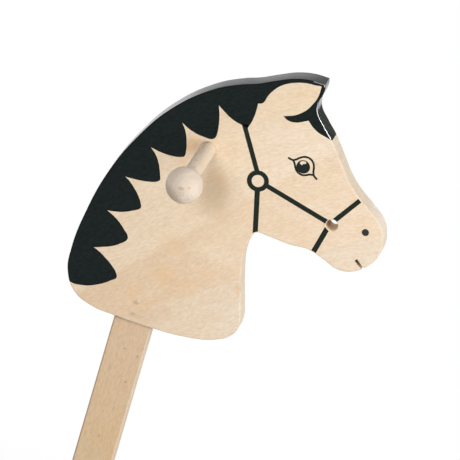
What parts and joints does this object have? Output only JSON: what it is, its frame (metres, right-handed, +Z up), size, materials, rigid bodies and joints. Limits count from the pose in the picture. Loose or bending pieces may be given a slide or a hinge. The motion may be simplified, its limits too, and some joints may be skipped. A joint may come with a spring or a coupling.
{
  "type": "hobby horse",
  "caption": "Ride-on stick toy: flat sawn horse's head board on a lath stick, with a ball-ended cross handle through the board and a pair of small rubber-tyred wheels at the foot.",
  "frame": {"origin": "middle of the hand grip, where the cross handle's axis meets the middle of the head board's thickness", "axes": "+Z up along the stick, +X the way the horse looks, +Y towards the rider's left along the cross handle"},
  "size_m": [0.2728, 0.27, 0.895],
  "materials": {
    "board_beech": "satin clear lacquer on pale beech",
    "lath_beech": "satin clear lacquer on slightly darker beech",
    "handle_beech": "satin clear lacquer on turned pale beech",
    "pin_beech": "sanded end grain",
    "wheel_beech": "satin clear lacquer on turned beech",
    "black_print": "satin black printing ink and edge paint",
    "tyre_rubber": "matte",
    "spacer_nylon": "satin natural nylon",
    "steel": "zinc-plated, satin"
  },
  "bodies": {
    "horse": {"head_board": "board_beech", "lath_stick": "lath_beech", "tenon_pin": "pin_beech", "handle_shaft": "handle_beech", "handle_knob_left": "handle_beech", "handle_knob_right": "handle_beech", "wheel_axle": "steel", "spacer_left": "spacer_nylon", "spacer_right": "spacer_nylon", "washer_left": "steel", "washer_right": "steel", "axle_cap_left": "steel", "axle_cap_right": "steel"},
    "left_wheel": {"wheel_left": "wheel_beech", "tyre_left": "tyre_rubber"},
    "right_wheel": {"wheel_right": "wheel_beech", "tyre_right": "tyre_rubber"}
  },
  "joints": [
    {"name": "wheel_left_spin", "type": "hinge", "parent": "horse", "child": "left_wheel", "pos_m": [-0.0215, 0.0206, -0.76], "axis": [0, 1, 0], "continuous": true},
    {"name": "wheel_right_spin", "type": "hinge", "parent": "horse", "child": "right_wheel", "pos_m": [-0.0215, -0.0206, -0.76], "axis": [0, 1, 0], "continuous": true}
  ]
}
